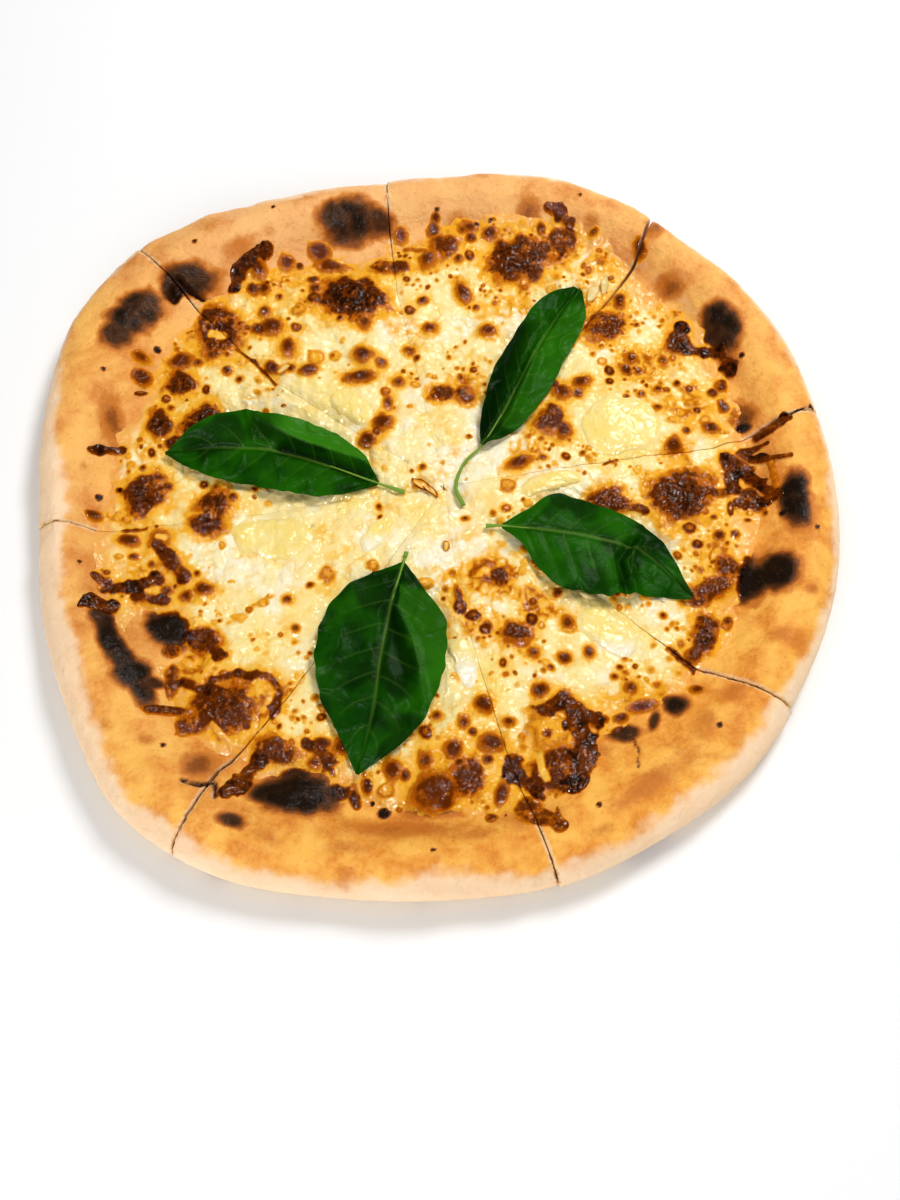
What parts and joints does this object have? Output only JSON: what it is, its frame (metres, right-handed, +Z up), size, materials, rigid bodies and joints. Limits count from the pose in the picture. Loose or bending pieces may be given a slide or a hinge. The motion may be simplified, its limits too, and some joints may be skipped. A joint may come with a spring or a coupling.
{
  "type": "four cheese pizza",
  "caption": "Round stone-baked pizza with a puffed, scorched rim, blistered melted cheese and soft cheese slabs, cut into wedges that lie together, with fresh basil leaves on top.",
  "frame": {"origin": "on the underside of the pizza, at the middle of its outline", "axes": "+Z up out of the topping; +X to the right and +Y away from the viewer in the picture"},
  "size_m": [0.3018, 0.2996, 0.019],
  "materials": {
    "crust": "baked dough, matt and floury, with scorched spots",
    "melted_cheese": "oily melted cheese, browned in blisters",
    "soft_cheese": "soft cheese, satin and creamy",
    "basil": "fresh leaf, satin, with veins"
  },
  "bodies": {
    "root": {"dough_1": "crust", "dough_2": "crust", "dough_3": "crust", "dough_4": "crust", "dough_5": "crust", "dough_6": "crust", "dough_7": "crust", "dough_8": "crust", "cheese_1": "melted_cheese", "cheese_2": "melted_cheese", "cheese_3": "melted_cheese", "cheese_4": "melted_cheese", "cheese_5": "melted_cheese", "cheese_6": "melted_cheese", "cheese_7": "melted_cheese", "cheese_8": "melted_cheese", "soft_cheese_1": "soft_cheese", "soft_cheese_2": "soft_cheese", "soft_cheese_3": "soft_cheese", "soft_cheese_4": "soft_cheese", "soft_cheese_5": "soft_cheese", "soft_cheese_6": "soft_cheese", "soft_cheese_7": "soft_cheese", "basil_1": "basil", "basil_2": "basil", "basil_3": "basil", "basil_4": "basil"}
  },
  "joints": []
}
